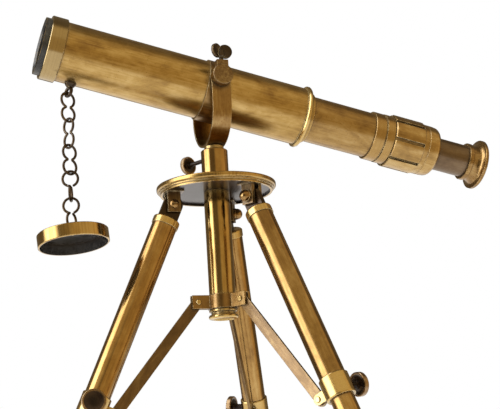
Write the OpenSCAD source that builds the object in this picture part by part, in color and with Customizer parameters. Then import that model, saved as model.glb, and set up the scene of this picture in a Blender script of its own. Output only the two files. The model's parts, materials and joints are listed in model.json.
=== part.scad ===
// Brass desk telescope on a folding tripod. Millimetres, +Z up.
// Origin: on the tripod's centre line, at floor level. The barrel lies in the XZ plane,
// with its eyepiece towards +X and its objective towards -X.

/* [Tripod] */
// Length of a leg along its axis, from its hinge pin to the floor
leg_len = 220; // [205:1:235]
// Angle between a leg and the vertical
splay = 24; // [22:0.5:26]
// Radius of the circle through the three hinge pins
hinge_r = 29.5; // [29:0.1:30]
// Outer radius of the upper leg tubes
leg_r = 7.94; // [7.6:0.02:8.1]
// Height of the plate's top above the hinge pins
hinge_drop = 13.4; // [13:0.1:15]
// Radius of the round head plate
plate_r = 38.2; // [38:0.1:40]
// Thickness of the head plate at its rim
plate_t = 5.5; // [5.2:0.1:6]
// Outer radius of the centre column
column_r = 8.3; // [8:0.1:8.5]
// Length of the centre column below the plate's top
column_len = 80.4; // [78:0.2:84]

/* [Yoke] */
// Radius of the pan boss that stands on the plate
boss_r = 8.6; // [8:0.1:9]
// Height of the pan boss
boss_h = 23.1; // [22:0.1:25]
// Width of the yoke's flat strap
strap_w = 12.4; // [11:0.1:13]
// Thickness of the yoke's flat strap
strap_t = 1.5; // [1.2:0.1:1.6]
// Half of the gap between the yoke's arms
yoke_gap = 21.2; // [21:0.1:23]
// Height of the trunnion axis above the strap's lowest point
yoke_h = 40.1; // [38:0.1:44]

/* [Telescope] */
// Angle of the barrel at rest, eyepiece down
tilt = 13.1; // [5:0.1:20]
// Outer radius of the main tube
barrel_r = 19.05; // [18.9:0.05:19.1]
// Wall of the main tube
barrel_wall = 1.1; // [0.9:0.05:1.2]
// Distance of the barrel's axis below the trunnion axis
barrel_drop = 3; // [2:0.1:4]
// Outer radius of the draw tube
draw_r = 15.2; // [15:0.05:15.4]
// Outer radius of the eyepiece tube
eye_r = 11; // [10.8:0.05:11]
// Outer radius of the collar that the lens cap slips over
collar_r = 20.5; // [20.3:0.05:20.6]

/* [Chain and cap] */
// Mean radius of a chain link's loops
link_r = 4.75; // [4.7:0.05:4.8]
// Radius of the chain wire
wire_r = 0.8; // [0.7:0.05:0.8]
// Outer radius of the lens cap
cap_r = 21.9; // [21.8:0.05:22.2]
// Depth of the lens cap
cap_h = 8; // [7:0.1:9]

/* [Hidden] */
$fn = 72;
run_gap = 0.06;   // radial clearance of a shaft that turns or slides in its hole
seat_gap = 0.02;  // radial clearance of a piece that is soldered or pressed in place

// heights
hinge_z = leg_len * cos(splay);
plate_z = hinge_z + hinge_drop;
boss_z = plate_z + boss_h;
spindle_collar_h = 2.5;
yoke_z = boss_z + spindle_collar_h;
trunnion_z = yoke_z + yoke_h;
leg_azimuths = [180, 300, 60];

// head plate, measured down from its top
plate_disc_t = 3.2;
plate_groove_t = 0.9;
plate_groove_depth = 1.3;
plate_lip_in = 2.3;
dish_r = 34.4;
dish_depth = 1.3;
dish_z = plate_z - plate_t + dish_depth;

// pan boss and spindle
spindle_r = 4;
boss_fillet = 3.6;
pan_screw_azimuth = 117;
pan_screw_z = boss_z - 4.4;
pan_screw_r = 1.4;
pan_head_r = 6;
pan_head_t = 3;
pan_head_at = 26.4;
spindle_groove_r = 3.2;

// trunnion
pin_r = 2.5;
arm_r = strap_w / 2;
pin_head_in = yoke_gap + strap_t + 0.4;
disc_r = 6.6;
disc_in = yoke_gap + strap_t + seat_gap;
disc_out = disc_in + 5.9;
tab_w = 7.5;
tab_h = 9.6;
wing_screw_r = 1.5;
wing_r = 4.6;
wing_reach = 3.1;
wing_yaw = 15;

// positions along the barrel from the trunnion, eyepiece positive
cell_front = -113;
collar_front = -109.4;
collar_back = -99.4;
tube_front = -107;
tube_back = 61.5;
end_ring_back = 65.2;
bush_back = 68.4;
bush_front = 40;
draw_front = -22;
focus_front = 112.7;
focus_split = 120.3;
ring_front = 126.9;
pad_back = 148.6;
ring_back = 162;
eye_front = 105;
cup_front = 185;
cup_back = 196.6;
eyelet_at = -89.3;
tube_in = barrel_r - barrel_wall;
draw_wall = 1;
draw_in = draw_r - draw_wall;
eye_wall = 0.8;

// legs, measured along the leg from the hinge pin
hinge_pin_r = 1.5;
ear_gap = 4.2;
ear_t = 2.6;
ear_w = 8.4;
ear_below = 5;
tongue_t = 4;
tongue_w = 12.4;
ferrule_s = 9.6;
ferrule_h = 5.2;
ferrule_r = 8.5;
leg_wall = 0.8;
leg_s0 = ferrule_s + ferrule_h;
leg_s1 = 141;
collar_s = 128;
collar_or = 9;
bracket_s = 135;
bracket_in = 14;
bracket_r = 3.2;
bracket_pin_r = 1;
lock_s = 134.5;
lock_turn = 102;
lock_r = 2;
lock_head_r = 7.2;
lock_head_t = 3.2;
lock_head_at = 15.4;
lower_r = leg_r - leg_wall - run_gap;
lower_s0 = 80;
lower_s1 = 204;
foot_r = 4.6;

// hub and braces; the brace's outer hole is a slot, because that pivot is left open
hub_pin_at = 16.5;
hub_pin_z = hinge_z - 62;
hub_pin_r = 1;
hub_h = 8.5;
hub_r = 9.7;
hub_ear_t = 1.5;
hub_ear_gap = 2.2;
hub_ear_out = 20.4;
brace_w = 7;
brace_t = 1.6;
slot_r = 1.45;
slot_half = 0.85;
bracket_x = hinge_r + bracket_s * sin(splay) - bracket_in * cos(splay);
bracket_z = hinge_z - bracket_s * cos(splay) - bracket_in * sin(splay);
brace_dx = bracket_x - hub_pin_at;
brace_dz = hub_pin_z - bracket_z;
brace_len = norm([brace_dx, brace_dz]);
brace_lean = atan2(brace_dx, brace_dz);
end_cap_z = plate_z - column_len;

// chain: each link hangs from the one above it, and its two loops may have different headings
link_c = 4.62;
link_drop = 2 * link_r + 2 * link_c;
hang_gap = 0.2;
link_pitch = link_drop - 2 * wire_r - hang_gap;
link_open = 12;
// how far past the waist each arc of wire runs, degrees
cross_over = 9;
top_yaw = [25, -65, 25, -20, -20];
bottom_yaw = [25, -65, 25, 70, 45];
eyelet_neck = 2;
eyelet_ring_r = 2.8;
eyelet_wire_r = 1.1;
eyelet_down = barrel_drop + barrel_r + eyelet_neck + eyelet_wire_r + 2 * eyelet_ring_r;
chain_x = eyelet_at * cos(tilt) - eyelet_down * sin(tilt);
chain_z = trunnion_z - eyelet_at * sin(tilt) - eyelet_down * cos(tilt)
          + eyelet_wire_r + wire_r + hang_gap;
cap_hang_z = chain_z - 4 * link_pitch - link_drop + wire_r + hang_gap / 2;
cap_eye_r = 2.6;
cap_eye_up = 2.2;
cap_lean = [-6, -4, 0];
cap_wall = 1.1;
cap_top_t = 1;

// ---- shared shapes ----

module rod(r, z0, z1) {
    translate([0, 0, z0]) cylinder(h = z1 - z0, r = r);
}

module tube(r_out, r_in, z0, z1) {
    difference() {
        rod(r_out, z0, z1);
        rod(r_in, z0 - 1, z1 + 1);
    }
}

// a cylinder whose two rims are bevelled
module bevelled(r, h, bevel) {
    rotate_extrude()
        polygon([[0, 0], [r - bevel, 0], [r, bevel], [r, h - bevel], [r - bevel, h], [0, h]]);
}

// part of a ring of round wire in the XZ plane
module wire_arc(ring_r, r, start, sweep) {
    rotate([90, 0, 0]) rotate([0, 0, start])
        rotate_extrude(angle = sweep, $fn = 48)
            translate([ring_r, 0]) circle(r = r, $fn = 24);
}

// a lens between two spherical faces, from vertex z0 to vertex z1
module biconvex(r, z0, z1, face_r) {
    intersection() {
        rod(r, z0, z1);
        translate([0, 0, z0 + face_r]) sphere(face_r, $fn = 200);
        translate([0, 0, z1 - face_r]) sphere(face_r, $fn = 200);
    }
}

// frames: the trunnion's tilted frame, the barrel's axis as +Z, and a leg's axis as +Z
module on_tilt() {
    translate([0, 0, trunnion_z]) rotate([0, tilt, 0]) children();
}

module on_barrel() {
    on_tilt() translate([0, 0, -barrel_drop]) rotate([0, 90, 0]) children();
}

module at_leg(i) {
    rotate([0, 0, leg_azimuths[i - 1]]) children();
}

module on_leg(i) {
    at_leg(i) translate([hinge_r, 0, hinge_z]) rotate([0, 180 - splay, 0]) children();
}

// a thumbscrew along +Z whose disc head starts at head_z
module thumbscrew(r, tip_z, head_r, head_t, head_z) {
    rod(r, tip_z, head_z + head_t / 2);
    translate([0, 0, head_z]) bevelled(head_r, head_t, 0.5);
}

// ---- tripod head ----

module head_plate() {
    groove_z = -plate_disc_t - plate_groove_t;
    lip_r = plate_r - plate_lip_in;
    color("peru") translate([0, 0, plate_z]) rotate_extrude(convexity = 4)
        difference() {
            union() {
                translate([0, -plate_disc_t]) square([plate_r - 1, plate_disc_t]);
                translate([plate_r - 1, -plate_disc_t + 1]) square([1, plate_disc_t - 2]);
                translate([plate_r - 1, -1]) circle(1);
                translate([plate_r - 1, -plate_disc_t + 1]) circle(1);
                translate([0, groove_z]) square([plate_r - plate_groove_depth, plate_groove_t]);
                translate([0, -plate_t]) square([lip_r, plate_t + groove_z]);
            }
            translate([-1, -plate_t - 1]) square([dish_r + 1, dish_depth + 1]);
            translate([-1, -plate_t]) square([spindle_r + run_gap + 1, plate_t + 1]);
        }
}

module pan_boss() {
    color("darkgoldenrod") difference() {
        translate([0, 0, plate_z]) rotate_extrude()
            polygon(concat(
                [[spindle_r + run_gap, 0], [boss_r + boss_fillet, 0]],
                [for (a = [0:15:90]) [boss_r + boss_fillet * (1 - sin(a)),
                                      0.5 + boss_fillet * (1 - cos(a))]],
                [[boss_r, boss_h - 0.5], [boss_r - 0.5, boss_h], [spindle_r + run_gap, boss_h]]));
        rotate([0, 0, pan_screw_azimuth]) translate([0, 0, pan_screw_z]) rotate([0, 90, 0])
            rod(pan_screw_r + run_gap, 0, 2 * boss_r);
    }
}

module centre_column() {
    color("darkgoldenrod") tube(column_r, column_r - 1.2, end_cap_z, dish_z);
}

module column_end_cap() {
    plug_r = column_r - 1.2 - seat_gap;
    color("goldenrod") translate([0, 0, end_cap_z]) rotate_extrude()
        polygon([[0, 8], [plug_r, 8], [plug_r, 0], [8.9, 0], [8.9, -1], [7.6, -1.6], [7.6, -2.8],
                 [8.8, -3.1], [9.3, -3.8], [9.3, -4.6], [8.8, -5.4], [6.6, -5.8], [6, -4.6],
                 [0, -4.2]]);
}

module leg_clevises() {
    ear_z = -ear_below;
    color("saddlebrown") for (i = [1:3]) at_leg(i) translate([hinge_r, 0, hinge_z]) {
        translate([-6.5, -6, dish_z - hinge_z - 1.2]) cube([10.9, 12, 1.2]);
        for (side = [-1, 1]) difference() {
            translate([-ear_w / 2, side > 0 ? ear_gap / 2 : -ear_gap / 2 - ear_t, ear_z])
                cube([ear_w, ear_t, dish_z - hinge_z - 1.2 - ear_z]);
            rotate([90, 0, 0]) cylinder(h = 30, r = hinge_pin_r + seat_gap, center = true);
        }
    }
}

module hinge_bolts() {
    outer = ear_gap / 2 + ear_t;
    color("goldenrod") for (i = [1:3]) at_leg(i) translate([hinge_r, 0, hinge_z])
        rotate([-90, 0, 0]) {
            difference() {
                union() {
                    rod(hinge_pin_r, -outer - 2, outer + 1);
                    intersection() {
                        rod(2.9, outer, outer + 2);
                        translate([0, 0, outer - 1.6]) sphere(3.4);
                    }
                }
                translate([-4, -0.35, outer + 1.2]) cube([8, 0.7, 2]);
            }
            difference() {
                union() {
                    rod(3.8, -outer - 1.5, -outer);
                    translate([0, 0, -outer - 1.9]) sphere(3.6);
                }
                rod(hinge_pin_r + seat_gap, -outer - 2.1, -outer + 1);
                rod(5, -outer, -outer + 2);
            }
        }
}

module pan_lock_screw() {
    color("dimgray") rotate([0, 0, pan_screw_azimuth]) translate([0, 0, pan_screw_z])
        rotate([0, 90, 0])
            thumbscrew(pan_screw_r, spindle_groove_r + 0.2, pan_head_r, pan_head_t,
                       pan_head_at - pan_head_t);
}

// ---- yoke ----

module yoke_strap() {
    r_out = yoke_gap + strap_t;
    arc_z = yoke_z + r_out;
    color("darkgoldenrod") difference() {
        union() {
            translate([0, 0, arc_z]) rotate([0, 90, 0]) intersection() {
                tube(r_out, yoke_gap, -strap_w / 2, strap_w / 2);
                translate([0, -r_out - 1, -strap_w]) cube([r_out + 1, 2 * r_out + 2, 2 * strap_w]);
            }
            for (side = [-1, 1]) {
                y0 = side > 0 ? yoke_gap : -r_out;
                translate([-strap_w / 2, y0, arc_z]) cube([strap_w, strap_t, trunnion_z - arc_z]);
                translate([0, y0, trunnion_z]) rotate([-90, 0, 0]) rod(arm_r, 0, strap_t);
            }
        }
        translate([0, 0, trunnion_z]) rotate([90, 0, 0])
            cylinder(h = 4 * yoke_gap, r = pin_r + run_gap, center = true);
        rod(2 + seat_gap, yoke_z - 1, yoke_z + strap_t + 1);
    }
}

module yoke_spindle() {
    foot_z = dish_z - 3;
    head_z = yoke_z + strap_t + 0.3;
    color("goldenrod") difference() {
        union() {
            rod(spindle_r, foot_z, yoke_z - 1);
            rod(6.3, boss_z + 0.1, yoke_z - 0.02);
            rod(2, yoke_z - 1, head_z + 1);
            translate([0, 0, head_z]) bevelled(3.5, 1.6, 0.5);
            rod(6, foot_z - 0.2, dish_z - 0.3);
        }
        tube(2 * spindle_r, spindle_groove_r, pan_screw_z - 1.8, pan_screw_z + 1.8);
    }
}

// ---- telescope ----

module main_tube() {
    color("darkgoldenrod") on_barrel() tube(barrel_r, tube_in, tube_front, tube_back);
}

module objective_collar() {
    color("darkgoldenrod") on_barrel() rotate_extrude()
        polygon([[18.42, collar_front], [collar_r - 0.4, collar_front],
                 [collar_r, collar_front + 0.4], [collar_r, collar_back - 0.3],
                 [collar_r - 0.3, collar_back], [barrel_r + seat_gap, collar_back],
                 [barrel_r + seat_gap, tube_front - 0.1], [18.42, tube_front - 0.1]]);
}

module objective_cell() {
    seat_r = tube_in - seat_gap;
    color("black") on_barrel() rotate_extrude()
        polygon([[17.6, cell_front], [18.4, cell_front], [18.4, tube_front - 0.1],
                 [seat_r, tube_front - 0.1], [seat_r, collar_back], [17, collar_back],
                 [17, collar_front - 0.2], [16.4, collar_front - 0.2], [16.4, cell_front + 1.2]]);
}

module objective_lenses() {
    lens_r = 16.95;
    front_z = collar_front + 0.1;
    join_z = front_z + 5.4;
    back_z = join_z + 1.7;
    join_face_r = 60;
    color("lightblue") on_barrel() {
        intersection() {
            rod(lens_r, front_z, join_z);
            translate([0, 0, front_z + 70]) sphere(70);
            translate([0, 0, join_z - join_face_r]) sphere(join_face_r);
        }
        difference() {
            rod(lens_r, join_z - 3, back_z);
            translate([0, 0, join_z - join_face_r]) sphere(join_face_r + 0.05);
        }
    }
}

module lens_retainer() {
    color("black") on_barrel() tube(17 - seat_gap, 15.6, collar_back - 2.6, collar_back - 0.4);
}

module trunnion_band() {
    color("darkgoldenrod") on_barrel() difference() {
        union() {
            rod(barrel_r + 1, -strap_w / 2, strap_w / 2);
            translate([-barrel_drop, 0, 0]) rotate([90, 0, 0])
                cylinder(h = 2 * yoke_gap - 0.6, r = 4.6, center = true);
        }
        rod(barrel_r + seat_gap, -strap_w, strap_w);
        translate([-barrel_drop, 0, 0]) rotate([90, 0, 0])
            cylinder(h = 4 * yoke_gap, r = pin_r + seat_gap, center = true);
    }
}

module trunnion_pins() {
    color("goldenrod") on_tilt() {
        rotate([90, 0, 0]) rod(pin_r, barrel_r + 0.4, disc_out - 1);
        rotate([-90, 0, 0]) {
            rod(pin_r, barrel_r + 0.4, pin_head_in + 0.5);
            translate([0, 0, pin_head_in]) bevelled(4.4, 2.2, 0.7);
        }
    }
}

module trunnion_collar() {
    color("saddlebrown") translate([0, 0, trunnion_z]) difference() {
        union() {
            rotate([90, 0, 0]) translate([0, 0, disc_in])
                bevelled(disc_r, disc_out - disc_in, 0.3);
            translate([-tab_w / 2, -disc_out + 0.3, 0]) cube([tab_w, disc_out - disc_in - 0.6, tab_h]);
        }
        rotate([90, 0, 0]) rod(pin_r + run_gap, disc_in - 1, disc_out - 0.9);
        translate([0, -(disc_in + disc_out) / 2, 0])
            rod(wing_screw_r + run_gap, pin_r, tab_h + 1);
    }
}

module tilt_wing_screw() {
    wing_z = tab_h + 6.4;
    color("dimgray") translate([0, -(disc_in + disc_out) / 2, trunnion_z])
        rotate([0, 0, wing_yaw]) {
            rod(wing_screw_r, pin_r + 0.3, wing_z);
            rod(2.3, wing_z - 3.6, wing_z - 0.6);
            for (side = [-1, 1]) translate([side * wing_reach, 0, wing_z]) rotate([90, 0, 0])
                cylinder(h = 1.9, r = wing_r, center = true);
        }
}

module end_ring() {
    bead = tube_back + 0.8;
    color("goldenrod") on_barrel() rotate_extrude()
        polygon([[tube_in - 1, tube_back + 0.02], [18.9, tube_back + 0.02], [18.9, bead - 0.1],
                 [19.9, bead + 0.1], [20.6, bead + 0.8], [20.6, end_ring_back - 1.1],
                 [20.1, end_ring_back - 0.3], [19.3, end_ring_back],
                 [tube_in - 1, end_ring_back]]);
}

module guide_bush() {
    seat_r = tube_in - seat_gap;
    neck_r = tube_in - 1 - seat_gap;
    lip_r = draw_r + 1.5;
    color("goldenrod") on_barrel() rotate_extrude()
        polygon([[draw_r + run_gap, bush_front], [seat_r, bush_front], [seat_r, tube_back],
                 [neck_r, tube_back], [neck_r, end_ring_back], [lip_r, end_ring_back],
                 [lip_r, bush_back - 0.5], [lip_r - 0.5, bush_back],
                 [draw_r + run_gap, bush_back]]);
}

module chain_eyelet() {
    stem = 1.7 + eyelet_neck;
    color("dimgray") on_barrel() difference() {
        union() {
            translate([barrel_r - 1, 0, eyelet_at]) rotate([0, 90, 0]) rotate_extrude()
                polygon([[0, 0], [3.6, 0], [3.6, 1.9], [2.3, stem], [0, stem]]);
            translate([barrel_r + eyelet_neck + eyelet_wire_r + eyelet_ring_r, 0, eyelet_at])
                rotate([-top_yaw[0] - 90, 0, 0])
                    wire_arc(eyelet_ring_r, eyelet_wire_r, 0, 360);
        }
        rod(barrel_r + seat_gap, eyelet_at - 10, eyelet_at + 10);
    }
}

// ---- draw tube and eyepiece ----

module draw_tube() {
    color("darkgoldenrod") on_barrel() tube(draw_r, draw_in, draw_front, ring_front - 1);
}

module draw_stop_ring() {
    color("goldenrod") on_barrel()
        tube(tube_in - 0.15, draw_r + seat_gap, draw_front, draw_front + 10);
}

module erector_tube() {
    color("goldenrod") on_barrel() {
        difference() {
            union() {
                rod(8, draw_front + 4, draw_front + 56);
                rod(draw_in - seat_gap, draw_front + 6, draw_front + 10);
                rod(draw_in - seat_gap, draw_front + 46, draw_front + 50);
            }
            rod(6, draw_front, draw_front + 60);
            for (z = [draw_front + 3, draw_front + 53]) rod(7, z, z + 4);
        }
    }
}

module erector_lenses() {
    color("lightblue") on_barrel()
        for (z = [draw_front + 4, draw_front + 53.1]) biconvex(6.95, z, z + 2.8, 24);
}

module focus_sleeve() {
    guide_r = eye_r + run_gap;
    nose_r = 13;
    ring_r = 16.4;
    groove_r = 15.8;
    color("goldenrod") on_barrel() rotate_extrude()
        polygon([[guide_r, 100], [draw_in - seat_gap, 100], [draw_in - seat_gap, ring_front - 0.9],
                 [draw_r + seat_gap, ring_front - 0.9], [draw_r + seat_gap, focus_front],
                 [ring_r - 0.3, focus_front], [ring_r, focus_front + 0.3],
                 [ring_r, focus_split - 0.6], [groove_r, focus_split - 0.3],
                 [groove_r, focus_split + 0.3], [ring_r + 0.2, focus_split + 0.6],
                 [ring_r + 0.2, ring_front - 0.4], [ring_r - 0.4, ring_front - 0.2],
                 [nose_r, ring_front - 0.2], [nose_r, pad_back], [guide_r, pad_back]]);
}

module focus_ring() {
    pad_r = 17.9;
    groove_depth = 1.6;
    groove_w = 2.4;
    bore_r = 13 + run_gap;
    mouth_r = eye_r + 0.4;
    color("goldenrod") on_barrel() difference() {
        rotate_extrude() difference() {
            polygon(concat(
                [[mouth_r, pad_back + 0.4], [bore_r, pad_back + 0.4], [bore_r, ring_front],
                 [pad_r - 0.7, ring_front], [pad_r, ring_front + 0.5], [pad_r, pad_back - 0.7],
                 [pad_r - 0.8, pad_back], [17.1, pad_back + 0.4], [17.1, 151.2], [16.8, 151.5],
                 [16.8, 152.2], [17.1, 152.5], [17, 156]],
                [for (a = [0:15:75]) [13.2 + 3.6 * cos(a), 157.6 + 3.6 * sin(a)]],
                [[13.4, ring_back - 0.4], [12.8, ring_back], [mouth_r, ring_back]]));
        }
        for (a = [0:45:315]) rotate([0, 0, a + 12])
            translate([pad_r - groove_depth, -groove_w / 2, ring_front - 1])
                cube([5, groove_w, pad_back - ring_front + 0.6]);
    }
}

module eyepiece_tube() {
    color("darkgoldenrod") on_barrel() tube(eye_r, eye_r - eye_wall, eye_front, cup_front + 4);
}

module eyecup() {
    lip_r = 17;
    neck_r = 12;
    flare = lip_r - neck_r;
    color("sienna") on_barrel() rotate_extrude()
        polygon(concat(
            [[eye_r + seat_gap, cup_front], [12.4, cup_front], [12.8, cup_front + 0.5],
             [12.8, cup_front + 2.6], [neck_r, cup_front + 3.2]],
            [for (a = [0:12:84]) [neck_r + flare * (1 - cos(a)), cup_front + 3.6 + 5.6 * sin(a)]],
            [[lip_r, cup_back - 2.2], [lip_r, cup_back - 0.5], [lip_r - 0.5, cup_back],
             [15.6, cup_back]],
            [for (a = [84:-12:0]) [8 + 7.2 * (1 - cos(a)), cup_front + 5.6 + 5.2 * sin(a)]],
            [[7, cup_front + 5.2], [7, cup_front + 4.1], [eye_r + seat_gap, cup_front + 4.1]]));
}

module eyepiece_lenses() {
    color("lightblue") on_barrel()
        for (z = [eye_front + 6, cup_front - 4]) biconvex(eye_r - eye_wall - seat_gap, z, z + 4, 30);
}

// ---- chain and lens cap ----

// both loops of one link; the origin is the middle of the wire at its top
module figure_eight(yaw_a, yaw_b) {
    waist = acos(link_c / link_r);
    cross_x = link_r * sin(waist);
    start = 90 + waist - cross_over;
    sweep = 360 - 2 * waist - link_open + cross_over;
    translate([0, 0, -link_r]) rotate([0, 0, yaw_a])
        wire_arc(link_r, wire_r, waist - 90 + link_open, sweep);
    translate([0, 0, -link_r - 2 * link_c]) rotate([0, 0, yaw_b])
        wire_arc(link_r, wire_r, start, sweep);
    if (yaw_a != yaw_b) {
        bridge = 2 * cross_x * sin(abs(yaw_b - yaw_a) / 2);
        translate([0, 0, -link_drop / 2]) rotate([0, 0, (yaw_a + yaw_b) / 2])
            translate([-cross_x * cos((yaw_b - yaw_a) / 2), 0, 0]) rotate([90, 0, 0])
                cylinder(h = bridge, r = wire_r - 0.04, center = true);
    }
}

module chain_link(i) {
    color("dimgray") translate([chain_x, 0, chain_z - (i - 1) * link_pitch])
        figure_eight(top_yaw[i - 1], bottom_yaw[i - 1]);
}

// the cap's own frame: origin where it hangs, leaning a little to one side
module on_cap() {
    translate([chain_x, 0, cap_hang_z]) rotate(cap_lean)
        translate([0, 0, wire_r + hang_gap / 2 - cap_eye_r - cap_eye_up]) children();
}

module lens_cap() {
    color("darkgoldenrod") on_cap() difference() {
        translate([0, 0, -cap_h]) bevelled(cap_r, cap_h, 0.4);
        rod(cap_r - cap_wall, -cap_h - 1, -cap_top_t);
    }
}

module cap_eye() {
    color("dimgray") on_cap() difference() {
        translate([0, 0, cap_eye_up]) rotate([0, 0, bottom_yaw[4] + 90])
            wire_arc(cap_eye_r, wire_r, 0, 360);
        rod(10, -10, 0);
    }
}

// ---- legs ----

module leg_tongue(i) {
    plug_r = leg_r - leg_wall - seat_gap;
    color("saddlebrown") on_leg(i) difference() {
        union() {
            rotate([90, 0, 0]) cylinder(h = tongue_t, r = tongue_w / 2, center = true);
            translate([-tongue_w / 2, -tongue_t / 2, 0]) cube([tongue_w, tongue_t, ferrule_s + 2]);
            translate([0, 0, ferrule_s]) rotate_extrude()
                polygon(concat(
                    [for (a = [90:-15:0]) [6.4 + 2.1 * cos(a), 1.4 * (1 - sin(a))]],
                    [[ferrule_r, ferrule_h], [plug_r, ferrule_h], [plug_r, ferrule_h + 8],
                     [0, ferrule_h + 8], [0, 0]]));
        }
        rotate([90, 0, 0]) cylinder(h = 30, r = hinge_pin_r + run_gap, center = true);
    }
}

module leg_tube(i) {
    color("darkgoldenrod") on_leg(i) difference() {
        tube(leg_r, leg_r - leg_wall, leg_s0 + 0.02, leg_s1);
        translate([0, 0, lock_s]) rotate([0, 0, lock_turn]) rotate([0, 90, 0])
            rod(lock_r + run_gap, 0, 2 * leg_r);
    }
}

module leg_collar(i) {
    ear_y = brace_t / 2 + 0.3;
    ear_plate = 1.5;
    color("goldenrod") on_leg(i) difference() {
        union() {
            rotate_extrude()
                polygon([[leg_r + seat_gap, collar_s], [collar_or - 0.5, collar_s],
                         [collar_or, collar_s + 0.5], [collar_or, leg_s1 - 0.3],
                         [collar_or - 0.4, leg_s1 + 0.5], [lower_r + run_gap, leg_s1 + 0.5],
                         [lower_r + run_gap, leg_s1 + 0.02], [leg_r + seat_gap, leg_s1 + 0.02]]);
            for (side = [-1, 1]) translate([0, side > 0 ? ear_y : -ear_y - ear_plate, bracket_s]) {
                difference() {
                    translate([collar_or - 1, 0, -bracket_r])
                        cube([bracket_in - collar_or + 1, ear_plate, 2 * bracket_r]);
                    translate([0, 0, -bracket_s]) rod(leg_r + 0.5, bracket_s - 9, bracket_s + 9);
                }
                translate([bracket_in, 0, 0]) rotate([-90, 0, 0]) rod(bracket_r, 0, ear_plate);
            }
        }
        translate([bracket_in, 0, bracket_s]) rotate([90, 0, 0])
            cylinder(h = 20, r = bracket_pin_r + seat_gap, center = true);
        translate([0, 0, lock_s]) rotate([0, 0, lock_turn]) rotate([0, 90, 0])
            rod(lock_r + run_gap, 0, 2 * leg_r);
    }
}

module brace_pin(i) {
    half = brace_t / 2 + 0.3 + 1.5;
    color("goldenrod") on_leg(i) translate([bracket_in, 0, bracket_s]) rotate([90, 0, 0]) {
        rod(bracket_pin_r, -half - 0.4, half + 0.4);
        for (side = [0, 1]) rotate([180 * side, 0, 0]) translate([0, 0, half])
            bevelled(1.8, 0.8, 0.3);
    }
}

module lower_leg(i) {
    ring_r = lower_r + 0.8;
    color("darkgoldenrod") difference() {
        on_leg(i) {
            tube(lower_r, lower_r - 0.8, lower_s0, lower_s1);
            rotate_extrude()
                polygon(concat(
                    [[0, lower_s1 - 8], [lower_r - 0.9, lower_s1 - 8], [lower_r - 0.9, lower_s1 + 0.02],
                     [ring_r, lower_s1 + 0.02], [ring_r, lower_s1 + 3]],
                    [for (a = [0:15:90]) [foot_r + (ring_r - foot_r) * cos(a),
                                          lower_s1 + 3 + 5 * sin(a)]],
                    [[foot_r, leg_len + 6], [0, leg_len + 6]]));
        }
        translate([-leg_len, -leg_len, -20]) cube([2 * leg_len, 2 * leg_len, 20]);
    }
}

module leg_lock_screw(i) {
    color("dimgray") on_leg(i) translate([0, 0, lock_s]) rotate([0, 0, lock_turn])
        rotate([0, 90, 0])
            thumbscrew(lock_r, lower_r + run_gap + 0.1, lock_head_r, lock_head_t, lock_head_at);
}

// ---- spreader ----

module brace_hub() {
    hub_z = hub_pin_z - hub_h / 2;
    color("goldenrod") difference() {
        union() {
            rod(hub_r, hub_z, hub_z + hub_h);
            for (i = [1:3], side = [-1, 1]) at_leg(i)
                translate([0, side > 0 ? hub_ear_gap / 2 : -hub_ear_gap / 2 - hub_ear_t, hub_z])
                    cube([hub_ear_out, hub_ear_t, hub_h]);
        }
        rod(column_r + run_gap, hub_z - 1, hub_z + hub_h + 1);
        for (i = [1:3]) at_leg(i) translate([hub_pin_at, 0, hub_pin_z]) rotate([90, 0, 0])
            cylinder(h = 12, r = hub_pin_r + seat_gap, center = true);
    }
}

module hub_rivets() {
    half = hub_ear_gap / 2 + hub_ear_t;
    color("gold") for (i = [1:3]) at_leg(i) translate([hub_pin_at, 0, hub_pin_z])
        rotate([90, 0, 0]) {
            rod(hub_pin_r, -half - 0.4, half + 0.4);
            for (side = [0, 1]) rotate([180 * side, 0, 0]) translate([0, 0, half])
                bevelled(1.7, 0.9, 0.35);
        }
}

module brace(i) {
    color("saddlebrown") at_leg(i) translate([hub_pin_at, 0, hub_pin_z])
        rotate([0, 180 - brace_lean, 0]) rotate([90, 0, 0])
            translate([0, 0, -brace_t / 2]) difference() {
                union() {
                    cylinder(h = brace_t, r = brace_w / 2);
                    translate([-brace_w / 2, 0, 0]) cube([brace_w, brace_len + slot_half, brace_t]);
                    translate([0, brace_len + slot_half, 0]) cylinder(h = brace_t, r = brace_w / 2);
                }
                translate([0, 0, -1]) cylinder(h = brace_t + 2, r = hub_pin_r + run_gap);
                for (end = [-1, 1]) translate([0, brace_len + end * slot_half, -1])
                    cylinder(h = brace_t + 2, r = slot_r);
                translate([-slot_r, brace_len - slot_half, -1])
                    cube([2 * slot_r, 2 * slot_half, brace_t + 2]);
            }
}

// ---- drawing ----

head_plate();
pan_boss();
centre_column();
column_end_cap();
leg_clevises();
hinge_bolts();
yoke_strap();
yoke_spindle();
pan_lock_screw();
main_tube();
objective_collar();
objective_cell();
objective_lenses();
lens_retainer();
trunnion_band();
trunnion_pins();
trunnion_collar();
tilt_wing_screw();
end_ring();
guide_bush();
chain_eyelet();
draw_tube();
draw_stop_ring();
erector_tube();
erector_lenses();
focus_sleeve();
focus_ring();
eyepiece_tube();
eyecup();
eyepiece_lenses();
lens_cap();
cap_eye();
brace_hub();
hub_rivets();
for (i = [1:5]) chain_link(i);
for (i = [1:3]) leg_tongue(i);
for (i = [1:3]) leg_tube(i);
for (i = [1:3]) leg_collar(i);
for (i = [1:3]) brace_pin(i);
for (i = [1:3]) lower_leg(i);
for (i = [1:3]) leg_lock_screw(i);
for (i = [1:3]) brace(i);
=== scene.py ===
"""Looks for the brass telescope on its folding tripod.

Everything is in metres, in the frame's own axes; the materials and the new pieces work in
millimetres along each piece's axis.
"""

import json
import math

import bpy
from mathutils import Euler, Matrix, Vector


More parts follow.
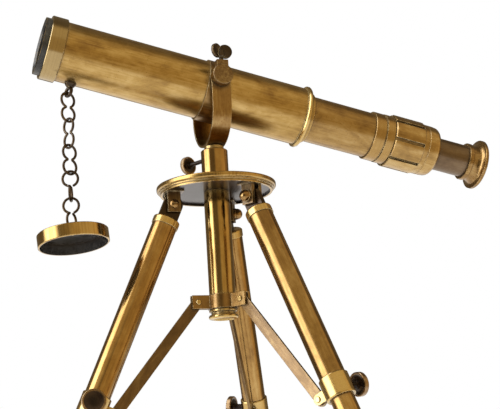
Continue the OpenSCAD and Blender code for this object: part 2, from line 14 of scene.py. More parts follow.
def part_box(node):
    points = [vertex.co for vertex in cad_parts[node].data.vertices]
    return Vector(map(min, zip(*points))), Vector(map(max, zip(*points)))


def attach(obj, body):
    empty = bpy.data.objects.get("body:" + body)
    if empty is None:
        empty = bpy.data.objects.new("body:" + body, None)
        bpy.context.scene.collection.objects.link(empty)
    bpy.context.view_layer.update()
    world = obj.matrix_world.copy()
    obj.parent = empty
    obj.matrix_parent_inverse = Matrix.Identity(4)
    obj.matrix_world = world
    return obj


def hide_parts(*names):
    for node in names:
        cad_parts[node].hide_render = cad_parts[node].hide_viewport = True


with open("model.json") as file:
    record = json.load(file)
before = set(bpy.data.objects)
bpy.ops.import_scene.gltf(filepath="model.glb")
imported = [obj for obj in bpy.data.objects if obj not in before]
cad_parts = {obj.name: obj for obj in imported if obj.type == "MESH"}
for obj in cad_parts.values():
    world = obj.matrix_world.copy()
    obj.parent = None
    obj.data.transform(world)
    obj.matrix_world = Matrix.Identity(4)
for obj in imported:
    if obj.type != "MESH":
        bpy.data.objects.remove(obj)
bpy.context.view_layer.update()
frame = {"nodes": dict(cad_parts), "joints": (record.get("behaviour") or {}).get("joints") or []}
NODES = frame["nodes"]
JOINTS = {j["name"]: j for j in frame["joints"]}
MM = 0.001
Z_AXIS = Vector((0, 0, 1))
LEGS = (1, 2, 3)
EDGE_R = 0.4 * MM  # how far the materials round every edge
CORNER_REACH = 4 * MM  # how near another surface has to be for the corner darkening, partly dirt and partly painted shade
SHARP = math.radians(38)  # new pieces are smooth across edges flatter than this


# ---- axes of the pieces ----


def joint_line(position, direction=None):
    """A point on one joint's axis, and the direction of another joint (or the same one)."""
    axis = Vector(JOINTS[direction or position]["axis"])
    return Vector(JOINTS[position]["pos_m"]), axis.normalized()


def middle(node):
    """The middle of a CAD node's box."""
    low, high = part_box(node)
    return (low + high) / 2


def cap_axis():
    """The lens cap's own axis; it hangs a little to one side."""
    return Euler((math.radians(-6), math.radians(-4), 0)).to_matrix() @ Z_AXIS


def leg_line(i):
    return joint_line(f"leg_fold_{i}", f"leg_extend_{i}")


def brace_line(i):
    start = Vector(JOINTS[f"brace_fold_{i}"]["pos_m"])
    return start, (middle(f"brace_pin_{i}") - start).normalized()


UPRIGHT = (Vector((0, 0, 0)), Z_AXIS)
BARREL = joint_line("focus_turn", "draw_slide")
TRUNNION = joint_line("barrel_tilt")
CAP = (middle("lens_cap"), cap_axis())


# ---- material nodes ----


class Graph:
    """Short calls that build a node tree. Each returns the new node's output socket."""

    def __init__(self, tree):
        self.tree = tree

    def node(self, kind, values=None, **settings):
        made = self.tree.nodes.new("ShaderNode" + kind)
        for key, value in settings.items():
            setattr(made, key, value)
        for key, value in (values or {}).items():
            if isinstance(value, bpy.types.NodeSocket):
                self.tree.links.new(value, made.inputs[key])
            else:
                made.inputs[key].default_value = value
        return made

    def feed(self, shader, sockets):
        """Links sockets to the shader's inputs of those names."""
        for name, socket in sockets.items():
            self.tree.links.new(socket, shader.inputs[name])

    def math(self, operation, a, b=0.0, c=0.0, clamp=False):
        values = {0: a, 1: b, 2: c}
        return self.node("Math", values, operation=operation, use_clamp=clamp).outputs[0]

    def measure(self, operation, *vectors):
        """A number from one or two vectors: LENGTH or DOT_PRODUCT."""
        made = self.node("VectorMath", dict(enumerate(vectors)), operation=operation)
        return made.outputs["Value"]

    def noise(self, at, scale, detail, roughness, distortion=0.0):
        values = {"Vector": at, "Scale": scale, "Detail": detail, "Roughness": roughness,
                  "Distortion": distortion}
        return self.node("TexNoise", values).outputs[0]

    def stretch(self, at, scale, shift=(0, 0, 0)):
        values = {"Vector": at, "Scale": scale, "Location": shift}
        return self.node("Mapping", values).outputs[0]

    def step(self, value, low, high):
        """0 below low, 1 above high, smooth between; falling if low is the larger."""
        values = {"Value": value, "From Min": low, "From Max": high}
        return self.node("MapRange", values, interpolation_type="SMOOTHSTEP").outputs[0]

    def band(self, value, low, high, soft):
        """1 between low and high, with edges of width soft."""
        rise = self.step(value, low - soft / 2, low + soft / 2)
        fall = self.step(value, high + soft / 2, high - soft / 2)
        return self.math("MULTIPLY", rise, fall)

    def mix(self, factor, a, b):
        return self.node("Mix", {0: factor, 6: a, 7: b}, data_type="RGBA").outputs[2]

    def ramp(self, factor, stops):
        made = self.node("ValToRGB", {0: factor})
        points = made.color_ramp.elements
        points[0].position, points[0].color = stops[0]
        points[1].position, points[1].color = stops[-1]
        for position, color in stops[1:-1]:
            points.new(position).color = color
        return made.outputs[0]

    def total(self, *terms):
        """The sum of (socket, weight) pairs, each socket first centred on zero, and 0.5."""
        value = 0.5
        for socket, weight in terms:
            if weight:
                centred = self.math("SUBTRACT", socket, 0.5)
                value = self.math("MULTIPLY_ADD", centred, 2 * weight, value)
        return value

    def rounded(self, samples):
        """The surface normal with its edges rounded, and a mask of those edges."""
        normal = self.node("Bevel", {"Radius": EDGE_R}, samples=samples).outputs[0]
        true_normal = self.node("NewGeometry").outputs["Normal"]
        along = self.measure("DOT_PRODUCT", normal, true_normal)
        return normal, self.step(along, 0.985, 0.86)


def rgb(red, green, blue):
    return (red, green, blue, 1.0)


def new_material(name):
    material = bpy.data.materials.new(name)
    material.use_nodes = True
    shader = material.node_tree.nodes["Principled BSDF"]
    return material, Graph(material.node_tree), shader


def own_frame(g, line):
    """The surface point in millimetres, in a frame whose Z is the given line."""
    origin, axis = line
    turn = axis.rotation_difference(Z_AXIS)
    moved = turn.to_matrix() @ origin
    values = {"Vector": g.node("TexCoord").outputs["Object"], "Location": moved / -MM,
              "Rotation": turn.to_euler(), "Scale": (1 / MM,) * 3}
    return g.node("Mapping", values).outputs[0]


# the dark, middle and light colours of each kind of brass
BROWN = (rgb(0.10, 0.045, 0.012), rgb(0.33, 0.19, 0.06), rgb(0.55, 0.39, 0.17))
GOLDEN = (rgb(0.21, 0.105, 0.024), rgb(0.47, 0.292, 0.084), rgb(0.70, 0.50, 0.21))
LEGS_BROWN = (rgb(0.18, 0.082, 0.020), rgb(0.39, 0.222, 0.062), rgb(0.62, 0.42, 0.165))
# a darker copy of the leg brown, used for leg 2's tube: painted shade
SHADED_LEG = (rgb(0.13, 0.058, 0.014), rgb(0.31, 0.178, 0.049), rgb(0.52, 0.35, 0.14))
TURNED = (rgb(0.33, 0.19, 0.055), rgb(0.60, 0.41, 0.145), rgb(0.82, 0.64, 0.32))
DRAWN = (rgb(0.17, 0.085, 0.022), rgb(0.40, 0.243, 0.076), rgb(0.58, 0.41, 0.18))
WORKED = (rgb(0.15, 0.075, 0.020), rgb(0.42, 0.255, 0.080), rgb(0.74, 0.56, 0.27))
COLLAR = (rgb(0.16, 0.10, 0.04), rgb(0.40, 0.285, 0.125), rgb(0.60, 0.48, 0.26))
EYEPIECE = (rgb(0.09, 0.055, 0.028), rgb(0.18, 0.115, 0.062), rgb(0.34, 0.25, 0.15))
DULL = (rgb(0.12, 0.075, 0.035), rgb(0.29, 0.18, 0.085), rgb(0.46, 0.33, 0.19))
UMBER = (rgb(0.05, 0.026, 0.010), rgb(0.19, 0.112, 0.046), rgb(0.44, 0.31, 0.14))
BRONZE = (rgb(0.018, 0.010, 0.005), rgb(0.055, 0.033, 0.017), rgb(0.20, 0.13, 0.062))
# near-black mixed into corners, creases and joints between parts: partly dirt, partly painted shade
CREASE_SHADE_AND_GRIME = rgb(0.020, 0.011, 0.004)
# cream mixed into the edges: partly rubbed bare brass, partly a painted edge highlight
BARE_EDGE_AND_HIGHLIGHT = rgb(0.95, 0.80, 0.48)
LACQUER = rgb(0.010, 0.009, 0.009)

# a different finish inside a radius: its dark and light colours, roughness and metallic part
BLACKED = (LACQUER, rgb(0.045, 0.042, 0.040), 0.30, 0.0)
# dark grey for the head plate's underside in place of its brass: painted shade under the plate
GREY_UNDERSIDE_SHADE = (rgb(0.022, 0.015, 0.014), rgb(0.068, 0.054, 0.060), 0.42, 0.85)
UMBERED = (rgb(0.045, 0.024, 0.010), rgb(0.20, 0.12, 0.05), 0.30, 1.0)
BRONZED = (rgb(0.016, 0.009, 0.006), rgb(0.060, 0.036, 0.022), 0.34, 0.9)


def brass(name, line, tones, rough, clouds=0.5, streaks=0.3, turning=0.0, specks=0.0, wear=0.6,
          grime_and_shade_amount=0.85, inside=None, finish=BLACKED, seed=0.0):
    """Aged brass along a line. tones are its dark, middle and light colours; clouds, streaks,
    turning and specks are how strongly it is stained, drawn lengthwise, turned in rings and
    pitted; wear brightens the edges, partly as rubbed bare metal and partly as a painted edge
    highlight, and grime darkens the corners and creases, partly as dirt and partly as painted
    shade. inside is (radius, from, to, slope) of a part with another finish, in millimetres:
    within the radius, and between the two heights once slope times the radius is taken off.
    That part is darkest toward the middle, a painted shade."""
    material, g, shader = new_material(name)
    point = own_frame(g, line)
    parts = g.node("SeparateXYZ", {0: point}).outputs
    flat = g.node("CombineXYZ", {0: parts[0], 1: parts[1]}).outputs[0]
    radius = g.measure("LENGTH", flat)
    shift = (seed, 1.7 * seed, -2.3 * seed)

    stain = g.noise(g.stretch(point, (1, 1, 0.4), shift), 0.07, 5.0, 0.58, 0.9)
    patch = g.noise(g.stretch(point, (1, 1, 0.7), shift), 0.22, 4.0, 0.6, 0.5)
    smear = g.noise(g.stretch(point, (1, 1, 0.04), shift), 0.9, 4.0, 0.6)
    grain = g.noise(point, 2.4, 5.0, 0.62)
    turned_at = g.node("CombineXYZ", {0: radius, 1: seed, 2: parts[2]}).outputs[0]
    rings = g.noise(turned_at, 3.4, 4.0, 0.7)

    tone = g.total((stain, clouds), (patch, 0.45 * clouds), (smear, streaks), (grain, 0.10),
                   (rings, 0.3 * turning))
    dark, mid, light = tones
    color = g.ramp(tone, [(0.18, dark), (0.5, mid), (0.85, light)])

    scratch_at = g.stretch(point, (1, 1, 0.06), (3.1, 0.4, 7.7))
    scratch = g.step(g.noise(scratch_at, 4.5, 2.0, 0.5, 0.4), 0.70, 0.78)
    color = g.mix(g.math("MULTIPLY", scratch, 0.35), color, light)

    pit = 0.0
    if specks:
        cells = g.node("TexVoronoi", {"Vector": point, "Scale": 0.85})
        near = g.step(cells.outputs["Distance"], 0.24, 0.10)
        chosen = g.node("SeparateColor", {0: cells.outputs["Color"]}).outputs[0]
        pit = g.math("MULTIPLY", near, g.step(chosen, 1 - 0.5 * specks, 1 - 0.4 * specks))
        color = g.mix(pit, color, dark)

    # ambient occlusion darkens corners, creases and the joints between parts: partly dirt, partly
    # painted shade
    open_air = g.node("AmbientOcclusion", {"Distance": CORNER_REACH}, samples=6).outputs["AO"]
    crease_shade_and_grime = g.math("MULTIPLY", g.step(open_air, 0.95, 0.38), grime_and_shade_amount)
    color = g.mix(crease_shade_and_grime, color, CREASE_SHADE_AND_GRIME)

    round_normal, edge = g.rounded(6)
    # edges brightened toward bare metal in rubbed patches: partly real rubbing, partly a painted
    # edge highlight
    rubbed = g.step(patch, 0.30, 0.62)
    bright_edge = g.math("MULTIPLY", g.math("MULTIPLY", edge, wear), rubbed)
    color = g.mix(bright_edge, color, g.mix(0.5, light, BARE_EDGE_AND_HIGHLIGHT))

    polish = g.total((stain, -0.09), (grain, 0.06), (smear, 0.05))
    polish = g.math("ADD", polish, rough - 0.5)
    polish = g.math("MULTIPLY_ADD", crease_shade_and_grime, 0.25, polish)
    polish = g.math("MULTIPLY_ADD", bright_edge, -0.08, polish)
    metal = g.math("MULTIPLY_ADD", crease_shade_and_grime, -0.6, 1.0, clamp=True)

    relief = g.total((grain, 0.5), (smear, 0.5 * streaks), (rings, 1.5 * turning), (stain, 0.3))
    if specks:
        relief = g.math("MULTIPLY_ADD", pit, -0.8, relief)

    if inside:
        limit, start, end, slope = inside
        dark_inner, light_inner, inner_rough, inner_metal = finish
        level = g.math("MULTIPLY_ADD", radius, -slope, parts[2])
        within = g.step(radius, limit + 0.04, limit - 0.04)
        inner = g.math("MULTIPLY", within, g.band(level, start, end, 0.06))
        cloudy = g.step(g.noise(point, 0.16, 5.0, 0.6, 0.4), 0.15, 0.65)
        # cloudy lighter patches that fade out toward the axis, leaving the middle darkest: painted
        # shade, under the head plate the painted shadow by the column
        smudge_and_centre_shade = g.math("MULTIPLY", cloudy, g.step(radius, 0.15 * limit, 0.85 * limit))
        inner_color = g.mix(smudge_and_centre_shade, dark_inner, light_inner)
        # the inner part's corners get the same dirt and painted shade
        color = g.mix(inner, color, g.mix(crease_shade_and_grime, inner_color, CREASE_SHADE_AND_GRIME))
        keep = g.math("SUBTRACT", 1.0, inner)
        metal = g.math("MULTIPLY_ADD", metal, keep, g.math("MULTIPLY", inner, inner_metal))
        polish = g.math("MULTIPLY_ADD", polish, keep, g.math("MULTIPLY", inner, inner_rough))

    bump = g.node("Bump", {"Strength": 0.3, "Distance": 0.025 * MM, "Height": relief,
                           "Normal": round_normal}).outputs[0]
    shader.inputs["Coat Weight"].default_value = 0.4
    shader.inputs["Coat Roughness"].default_value = 0.14
    g.feed(shader, {"Base Color": color, "Roughness": g.math("MAXIMUM", polish, 0.06),
                    "Metallic": metal, "Normal": bump})
    return material


def lacquered(name, line):
    """Black paint over brass, greyed by handling and rubbed through to the metal at its edges."""
    material, g, shader = new_material(name)
    point = own_frame(g, line)
    haze = g.noise(point, 0.16, 4.0, 0.6, 0.6)
    dust = g.noise(point, 3.0, 5.0, 0.65)
    greys = [(0.2, LACQUER), (0.55, rgb(0.022, 0.021, 0.018)), (0.9, rgb(0.06, 0.058, 0.048))]
    color = g.ramp(g.total((haze, 0.5), (dust, 0.25)), greys)
    edge = g.rounded(5)[1]
    bright_edge = g.math("MULTIPLY", edge, g.step(haze, 0.42, 0.6))
    color = g.mix(bright_edge, color, GOLDEN[1])
    polish = g.math("ADD", g.total((haze, 0.10), (dust, 0.08)), -0.18)
    bump = g.node("Bump", {"Strength": 0.4, "Distance": 0.02 * MM, "Height": dust}).outputs[0]
    g.feed(shader, {"Base Color": color, "Roughness": polish, "Metallic": bright_edge, "Normal": bump})
    return material


def glass(name, line):
    """A coated lens with a little dust and a few smears."""
    material, g, shader = new_material(name)
    point = own_frame(g, line)
    dust = g.noise(point, 1.8, 5.0, 0.7)
    smear = g.noise(g.stretch(point, (1, 0.35, 1)), 0.35, 3.0, 0.5, 1.2)
    tint = g.ramp(smear, [(0.3, rgb(0.86, 0.94, 0.97)), (0.7, rgb(0.95, 0.93, 0.99))])
    haze = g.math("MULTIPLY", g.step(dust, 0.62, 0.80), 0.25)
    polish = g.math("ADD", g.math("MULTIPLY", smear, 0.04), haze)
    bump = g.node("Bump", {"Strength": 0.1, "Distance": 0.005 * MM, "Height": dust}).outputs[0]
    g.feed(shader, {"Base Color": tint, "Roughness": polish, "Normal": bump})
    shader.inputs["Transmission Weight"].default_value = 1.0
    shader.inputs["IOR"].default_value = 1.52
    shader.inputs["Coat Weight"].default_value = 0.3
    return material


# ---- materials of the CAD nodes ----


def finish_node(node, material):
    """Gives a CAD node its material; its own normals are kept, the material rounds its edges."""
    shown = NODES[node]
    shown.data.materials.clear()
    shown.data.materials.append(material)
    shown.data.shade_smooth()


def aged(node, *look, **more):
    """Gives a CAD node a brass of its own."""
    finish_node(node, brass(node, *look, **more))


TURNED_LOOK = dict(clouds=0.13, streaks=0.0, turning=0.5, wear=1.0)

aged("main_tube", BARREL, GOLDEN, 0.33, streaks=0.26, specks=0.3, wear=0.5,
     inside=(18.2, -300, -60, 0), seed=3.0)
aged("objective_collar", BARREL, COLLAR, 0.13, seed=1.0, **TURNED_LOOK)
finish_node("objective_cell", lacquered("objective_cell", BARREL))
finish_node("lens_retainer", lacquered("lens_retainer", BARREL))
aged("trunnion_band", BARREL, BROWN, 0.36, wear=0.8, seed=5.0)
aged("trunnion_pins", TRUNNION, TURNED, 0.25, seed=2.0, **TURNED_LOOK)
aged("trunnion_collar", TRUNNION, UMBER, 0.36, clouds=0.35, turning=0.3, seed=8.0)
aged("end_ring", BARREL, TURNED, 0.20, seed=4.0, **TURNED_LOOK)
aged("guide_bush", BARREL, GOLDEN, 0.25, seed=6.0, **TURNED_LOOK)
aged("chain_eyelet", BARREL, BRONZE, 0.38, wear=0.9, seed=2.0)
aged("draw_tube", BARREL, DRAWN, 0.36, clouds=0.45, streaks=0.2, specks=0.8, wear=0.4, seed=9.0)
aged("draw_stop_ring", BARREL, TURNED, 0.3, seed=1.0, **TURNED_LOOK)
aged("erector_tube", BARREL, DULL, 0.4, seed=3.0)
aged("focus_sleeve", BARREL, WORKED, 0.26, seed=7.0, **TURNED_LOOK)
aged("focus_ring", BARREL, WORKED, 0.30, clouds=0.45, streaks=0.1, wear=1.0, seed=5.0)
aged("eyepiece_tube", BARREL, EYEPIECE, 0.40, clouds=0.35, streaks=0.15, seed=4.0)
aged("eyecup", BARREL, BROWN, 0.26, clouds=0.3, turning=0.35, wear=0.9,
     inside=(15.5, 41.4, 90, 0.95), seed=2.0)
# the dish under the plate gets the dark grey painted shade
aged("head_plate", UPRIGHT, GOLDEN, 0.24, clouds=0.25, turning=0.45, wear=1.0,
     inside=(34.46, 205, 210.4, 0), finish=GREY_UNDERSIDE_SHADE, seed=6.0)
aged("pan_boss", UPRIGHT, LEGS_BROWN, 0.15, clouds=0.25, streaks=0.12, turning=0.2, seed=1.5)
aged("centre_column", UPRIGHT, GOLDEN, 0.16, clouds=0.3, streaks=0.2, seed=2.5)
aged("column_end_cap", UPRIGHT, TURNED, 0.22, seed=8.0, **TURNED_LOOK)
aged("leg_clevises", UPRIGHT, UMBER, 0.33, clouds=0.4, wear=1.0, seed=4.5)
aged("hinge_bolts", UPRIGHT, BROWN, 0.20, clouds=0.3, wear=0.8, seed=3.5)
aged("yoke_strap", UPRIGHT, BROWN, 0.30, clouds=0.35, streaks=0.2, wear=1.0, seed=7.5)
aged("yoke_spindle", UPRIGHT, TURNED, 0.20, seed=5.5, **TURNED_LOOK)
aged("lens_cap", CAP, GOLDEN, 0.13, clouds=0.2, turning=0.2, wear=1.0,
     inside=(20.9, -6, 3.05, 0), seed=6.5)
aged("cap_eye", CAP, BRONZE, 0.38, wear=0.9, seed=1.0)
aged("brace_hub", UPRIGHT, BROWN, 0.30, clouds=0.35, streaks=0.1, wear=1.0, seed=9.5)
aged("hub_rivets", UPRIGHT, TURNED, 0.22, wear=0.9, seed=0.5)
for lens in ("objective_lenses", "erector_lenses", "eyepiece_lenses"):
    finish_node(lens, glass(lens, BARREL))
for i in LEGS:
    leg = leg_line(i)
    # leg 2's tube gets the darker copy of the leg brown: painted shade
    tube_tones = SHADED_LEG if i == 2 else LEGS_BROWN
    aged(f"leg_tongue_{i}", leg, TURNED, 0.24, clouds=0.15, wear=1.0,
         inside=(30, -60, 9.5, 0), finish=UMBERED, seed=i)
    aged(f"leg_tube_{i}", leg, tube_tones, 0.17, clouds=0.4, streaks=0.2, specks=0.2,
         seed=3.3 * i)
    aged(f"leg_collar_{i}", leg, TURNED, 0.20, seed=2.2 * i, **TURNED_LOOK)
    aged(f"brace_pin_{i}", leg, TURNED, 0.26, wear=0.9, seed=1.1 * i)
    aged(f"lower_leg_{i}", leg, LEGS_BROWN, 0.2, clouds=0.4, streaks=0.2, seed=4.4 * i)
    aged(f"brace_{i}", brace_line(i), UMBER, 0.34, clouds=0.35, streaks=0.1, wear=1.0, seed=5.1 * i)


# ---- new pieces ----


def stand(line, out=None):
    """The matrix that puts a piece made about Z on a line; out fixes which way its X points."""
    origin, axis = line
    if out is None:
        turn = Z_AXIS.rotation_difference(axis).to_matrix()
    else:
        side = (out - out.dot(axis) * axis).normalized()
        turn = Matrix((side, axis.cross(side), axis)).transposed()
    return Matrix.Translation(origin) @ turn.to_4x4() @ Matrix.Scale(MM, 4)


def piece(name, verts, faces, matrix, body, material, nodes=()):
    """A new mesh piece from points in millimetres, put in place and riding on its body."""
    mesh = bpy.data.meshes.new(name)
    mesh.from_pydata(verts, [], faces)
    mesh.transform(matrix)
    mesh.update()
    mesh.shade_smooth()
    mesh.set_sharp_from_angle(angle=SHARP)
    mesh.materials.append(material)
    made = bpy.data.objects.new(name, mesh)
    bpy.context.scene.collection.objects.link(made)
    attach(made, body)
    if nodes:
        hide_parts(*nodes)


def skin(rings):
    """Faces over rings of points, each a list of indices; a ring may be a single point."""
    faces = []
    for lower, upper in zip(rings, rings[1:]):
        n = max(len(lower), len(upper))
        for k in range(n):
            a, b = lower[k % len(lower)], lower[(k + 1) % len(lower)]
            c, d = upper[(k + 1) % len(upper)], upper[k % len(upper)]
            faces.append(tuple(dict.fromkeys((a, b, c, d))))
    return faces


def turned(profile, segments, shape=None):
    """Points and faces of a turned solid from (radius, height) rings; shape(ring, angle) is
    added to a ring's radius."""
    verts, rings = [], []
    for number, (radius, height) in enumerate(profile):
        count = 1 if radius == 0 else segments
        rings.append(list(range(len(verts), len(verts) + count)))
        for k in range(count):
            angle = 2 * math.pi * k / segments
            r = radius + (shape(number, angle) if shape and count > 1 else 0)
            verts.append((r * math.cos(angle), r * math.sin(angle), height))
    return verts, skin(rings)


def joined(*parts):
    """Several (points, faces) solids as one."""
    verts, faces = [], []
    for points, sides in parts:
        faces += [tuple(k + len(verts) for k in side) for side in sides]
        verts += list(points)
    return verts, faces


def threaded_rod(radius, start, end, pitch=0.75, depth=0.16):
    """A screw shaft with a real thread; its start is chamfered."""
    per_turn, segments = 6, 28
    steps = int((end - start) / pitch * per_turn)
    profile = [(0, start), (radius - 2 * depth, start)]
    profile += [(radius, start + 0.3 + k * pitch / per_turn) for k in range(steps - 3)]
    profile += [(radius - depth, end), (0, end)]

    def groove(number, angle):
        if number < 2 or number > len(profile) - 3:
            return 0
        turn = (profile[number][1] / pitch - angle / (2 * math.pi)) % 1
        return -depth * abs(2 * turn - 1)

    return turned(profile, segments, groove)


def screw_head(radius, thickness, start, knurls, knurl_depth):
    """A disc head with a hub under it, a ring cut in its back and a shallow dish in its front."""
    back, front = start, start + thickness
    profile = [(0, back - 1.3), (1.9, back - 1.3), (2.3, back - 1.0), (2.5, back),
               (0.44 * radius, back + 0.05), (0.5 * radius, back + 0.3),
               (0.78 * radius, back + 0.3), (0.84 * radius, back),
               (radius - 0.35, back), (radius, back + 0.35)]
    first_rim = len(profile) - 1
    profile += [(radius, back + 0.35 + (thickness - 0.7) * k / 4) for k in range(1, 5)]
    last_rim = len(profile) - 1
    profile += [(radius - 0.35, front), (0.86 * radius, front), (0.76 * radius, front - 0.35),
                (0.4 * radius, front - 0.5), (0.2 * radius, front - 0.45), (0, front - 0.42)]

    def knurl(number, angle):
        if not knurls or number < first_rim or number > last_rim:
            return 0
        return -knurl_depth * (0.5 - 0.5 * math.cos(knurls * angle)) ** 1.5

    return turned(profile, 6 * knurls if knurls else 96, knurl)


def span(node, line):
    """How far a node reaches along a line, in millimetres from the line's origin."""
    origin, axis = line
    along = [(v.co - origin).dot(axis) / MM for v in NODES[node].data.vertices]
    return min(along), max(along)


def toward_head(node, line):
    """The line turned so that it points from the screw's tip to its head, its widest part."""
    origin, axis = line
    points = [v.co - origin for v in NODES[node].data.vertices]
    widest = max(points, key=lambda at: at.cross(axis).length)
    start, end = span(node, line)
    ahead = widest.dot(axis) / MM > (start + end) / 2
    return line if ahead else (origin, -axis)


def thumbscrew(node, joint, body, shaft, head, thickness, knurls):
    """A lock screw that replaces its CAD node: threaded shaft, hub and disc head."""
    line = toward_head(node, joint_line(joint))
    start, end = span(node, line)
    seat = end - thickness
    look = brass(node, line, DULL, 0.30, clouds=0.3, turning=0.45, wear=1.0, seed=3.7,
                 inside=(0.82 * head, -100, 100, 0), finish=BRONZED)
    top = screw_head(head, thickness, seat, knurls, 0.32)
    verts, faces = joined(threaded_rod(shaft, start, seat), top)
    piece(node + "_look", verts, faces, stand(line), body, look, (node,))


thumbscrew("pan_lock_screw", "pan_lock_turn", "pan_lock", 1.4, 6.0, 3.0, 40)
for i in LEGS:
    thumbscrew(f"leg_lock_screw_{i}", f"leg_lock_turn_{i}", f"leg_lock_{i}", 2.0, 7.2, 3.2, 0)


def wing_screw():
    """The tilt lock: a threaded shaft under two dished lobes at a slight angle to each other."""
    line = toward_head("tilt_wing_screw", joint_line("tilt_lock_turn"))
    start, end = span("tilt_wing_screw", line)
    yaw, lobe_yaw = math.radians(15), math.radians(-17)
    lobe_r, reach, half = 4.6, 3.1, 0.95
    height = end - lobe_r
    lobe = [(0, 0.35 - half), (0.5 * lobe_r, 0.30 - half), (0.78 * lobe_r, -half),
            (0.93 * lobe_r, -half), (lobe_r, 0.3 - half), (lobe_r, half - 0.3),
            (0.93 * lobe_r, half), (0.78 * lobe_r, half), (0.5 * lobe_r, half - 0.30),
            (0, half - 0.35)]
    hub = [(0, height - 3.9), (2.1, height - 3.9), (2.4, height - 3.5), (2.3, height - 1.6),
           (1.5, height + 1.4), (0.9, height + 2.2), (0, height + 2.4)]
    shapes = [threaded_rod(1.5, start, height - 1.5)]
    for side in (-1, 1):
        verts, faces = turned(lobe, 64)
        lie = (Matrix.Translation((side * reach, 0, height))
               @ Matrix.Rotation(side * lobe_yaw, 4, "Z") @ Matrix.Rotation(math.pi / 2, 4, "X"))
        shapes.append(([tuple(lie @ Vector(v)) for v in verts], faces))
    shapes.append(turned(hub, 40))
    out = Matrix.Rotation(yaw, 3, line[1]) @ BARREL[1]
    verts, faces = joined(*shapes)
    look = brass("tilt_wing_screw", line, BRONZE, 0.32, clouds=0.4, wear=1.0, seed=6.1)
    piece("tilt_wing_screw_look", verts, faces, stand(line, out), "wing_screw",
          look, ("tilt_wing_screw",))


wing_screw()


def wire(path, radius, segments=14):
    """A round wire along points, with rounded ends."""
    verts, rings = [], []
    side = None
    last = len(path) - 1
    for number, at in enumerate(path):
        ahead = (path[min(number + 1, last)] - path[max(number - 1, 0)]).normalized()
        if side is None:
            side = ahead.orthogonal()
        side = (side - side.dot(ahead) * ahead).normalized()
        up = ahead.cross(side)
        rows = [(0, 1)]
        if number == 0:
            rows = [(-math.cos(t), math.sin(t)) for t in (0, 0.4, 0.8, 1.2)] + rows
        if number == last:
            rows += [(math.cos(t), math.sin(t)) for t in (1.2, 0.8, 0.4, 0)]
        for along, across in rows:
            count = segments if across else 1
            rings.append(list(range(len(verts), len(verts) + count)))
            for k in range(count):
                angle = 2 * math.pi * k / segments
                spread = math.cos(angle) * side + math.sin(angle) * up
                verts.append(tuple(at + radius * (along * ahead + across * spread)))
    return verts, skin(rings)


# a link's wire and loops in millimetres, the gap at each open end in degrees, and how far each
# link's two loops are turned about the vertical
WIRE_R, LOOP_R, LOOP_APART, LINK_GAP = 0.8, 4.75, 4.62, 12
TOP_YAW = (25, -65, 25, -20, -20)
BOTTOM_YAW = (25, -65, 25, 70, 45)


def link_path(yaw_a, yaw_b):
    """The wire's middle line from one open end, over the top, past the waist and under."""
    waist = math.degrees(math.acos(LOOP_APART / LOOP_R))
    sweep = 360 - 2 * waist - LINK_GAP
    points = []
    for yaw, centre, start in ((yaw_a, -LOOP_R, waist - 90 + LINK_GAP),
                               (yaw_b, -LOOP_R - 2 * LOOP_APART, 90 + waist)):
        turn = Matrix.Rotation(math.radians(yaw), 3, "Z")
        for k in range(37):
            angle = math.radians(start + sweep * k / 36)
            flat = Vector((LOOP_R * math.cos(angle), 0, centre + LOOP_R * math.sin(angle)))
            points.append(turn @ flat)
    for _ in range(3):  # the twist at the waist is smoothed
        inner = [(points[k - 1] + 2 * points[k] + points[k + 1]) / 4 for k in range(33, 41)]
        points[33:41] = inner
    return points


hang_x, hang_y, _ = JOINTS["link_1_swing"]["pos_m"]
for i, yaws in enumerate(zip(TOP_YAW, BOTTOM_YAW), 1):
    node = f"chain_link_{i}"
    top = Vector((hang_x, hang_y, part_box(node)[1].z - WIRE_R * MM))
    line = (top, Z_AXIS)
    look = brass(node, line, BRONZE, 0.36, clouds=0.4, wear=0.9, grime_and_shade_amount=0.5, seed=1.3 * i)
    verts, faces = wire(link_path(*yaws), WIRE_R)
    piece(node + "_look", verts, faces, stand(line), f"link_{i}", look, (node,))

RIVET = [(0, -1.9), (0.7, -1.82), (1.15, -1.55), (1.4, -1.2), (1.45, -0.9), (0, -0.9)]
rivet_look = brass("cap_rivet", CAP, TURNED, 0.14, clouds=0.1, wear=0.5, grime_and_shade_amount=0.2)
rivet_at = (CAP[0] + CAP[1] * 4.0 * MM, CAP[1])
verts, faces = turned(RIVET, 40)
piece("cap_rivet", verts, faces, stand(rivet_at), "cap", rivet_look)


# ---- floor, light and camera ----

# the camera, as fitted to the photo
EYE = Vector((-0.23553, -0.72805, 0.02726))
BACK = Vector((-0.3254, -0.9194, -0.2210))
RIGHT = Vector((0.9455, -0.3196, -0.0625))
SENSOR_WIDTH, LENS = 36.0, 88.56  # millimetres

# what the metal reflects
ROOM = rgb(0.17, 0.135, 0.085)
WALL_NEAR, WALL_FAR = rgb(0.60, 0.45, 0.22), rgb(0.82, 0.60, 0.30)
CEILING = rgb(0.74, 0.60, 0.35)
WINDOW = rgb(4.2, 4.3, 4.4)
TABLE = rgb(1.14, 1.10, 1.04)


def studio_floor():
    """A wide pale sheet under the feet."""
    half = 3.0
    mesh = bpy.data.meshes.new("floor")
    corners = [(-half, -half, 0), (half, -half, 0), (half, half, 0), (-half, half, 0)]
    mesh.from_pydata(corners, [], [(0, 1, 2, 3)])
    floor = bpy.data.objects.new("floor", mesh)
    bpy.context.scene.collection.objects.link(floor)
    material, g, shader = new_material("floor")
    at = g.node("TexCoord").outputs["Object"]
    mottle = g.noise(at, 9.0, 4.0, 0.6)
    pale = g.ramp(mottle, [(0.2, rgb(0.86, 0.86, 0.85)), (0.8, rgb(0.90, 0.90, 0.89))])
    g.feed(shader, {"Base Color": pale})
    shader.inputs["Roughness"].default_value = 0.8
    mesh.materials.append(material)
    floor.visible_glossy = False


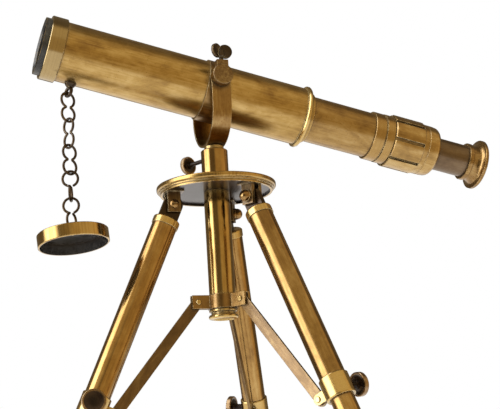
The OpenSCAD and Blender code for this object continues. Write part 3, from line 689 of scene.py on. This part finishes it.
def studio_world():
    """Soft boxes and a white table that the metal reflects, and plain white behind the object."""
    world = bpy.data.worlds.new("studio")
    bpy.context.scene.world = world
    world.use_nodes = True
    tree = world.node_tree
    tree.nodes.clear()
    g = Graph(tree)
    toward = g.node("TexCoord").outputs["Generated"]
    parts = g.node("SeparateXYZ", {0: toward}).outputs
    height = parts[2]
    front = Vector((BACK.x, BACK.y, 0)).normalized()
    side = Vector((-front.y, front.x, 0))
    u = g.measure("DOT_PRODUCT", toward, front)
    v = g.measure("DOT_PRODUCT", toward, side)
    angle = g.math("MULTIPLY", g.math("ARCTAN2", v, u), 180 / math.pi)

    right_wall = g.math("MULTIPLY", g.band(angle, 6, 102, 16), g.band(height, -0.5, 0.85, 0.2))
    wall_color = g.mix(g.step(angle, 45, 80), WALL_NEAR, WALL_FAR)
    color = g.mix(right_wall, ROOM, wall_color)
    overhead = g.math("MULTIPLY", g.band(height, 0.36, 0.86, 0.16), g.step(u, -0.1, 0.3))
    color = g.mix(overhead, color, CEILING)
    key = g.math("MULTIPLY", g.band(angle, -93, -45, 14), g.band(height, -0.25, 0.93, 0.16))
    color = g.mix(key, color, WINDOW)
    edge = g.math("MULTIPLY_ADD", u, -0.20, -0.29)
    table = g.step(g.math("SUBTRACT", height, edge), 0.05, -0.07)
    color = g.mix(table, color, TABLE)

    studio = g.node("Background", {"Color": color, "Strength": 1.0}).outputs[0]
    plain = g.node("Background", {"Color": rgb(1.0, 1.0, 1.0), "Strength": 1.0}).outputs[0]
    seen = g.node("LightPath").outputs["Is Camera Ray"]
    both = g.node("MixShader", {0: seen, 1: studio, 2: plain}).outputs[0]
    out = tree.nodes.new("ShaderNodeOutputWorld")
    tree.links.new(both, out.inputs[0])


def soft_light(name, place, size, power):
    """A square soft box aimed at the middle of the object; the metal doesn't mirror it."""
    lamp = bpy.data.lights.new(name, "AREA")
    lamp.size = size
    lamp.energy = power
    box = bpy.data.objects.new(name, lamp)
    box.location = place
    box.rotation_euler = (Vector((0, 0, 0.15)) - Vector(place)).to_track_quat("-Z", "Y").to_euler()
    box.visible_glossy = False
    box.visible_camera = False
    bpy.context.scene.collection.objects.link(box)


def camera():
    data = bpy.data.cameras.new("camera")
    data.sensor_width, data.lens = SENSOR_WIDTH, LENS
    data.clip_start, data.clip_end = 0.05, 20.0
    cam = bpy.data.objects.new("camera", data)
    up = BACK.cross(RIGHT)
    turn = Matrix((RIGHT, up, BACK)).transposed()
    cam.matrix_world = Matrix.Translation(EYE) @ turn.to_4x4()
    bpy.context.scene.collection.objects.link(cam)
    bpy.context.scene.camera = cam


studio_floor()
studio_world()
soft_light("overhead_box", (-0.4, -0.3, 1.5), 1.2, 26.0)
soft_light("side_box", (-1.2, -0.9, 0.9), 0.8, 8.0)
camera()
bpy.context.scene.view_settings.view_transform = "Standard"
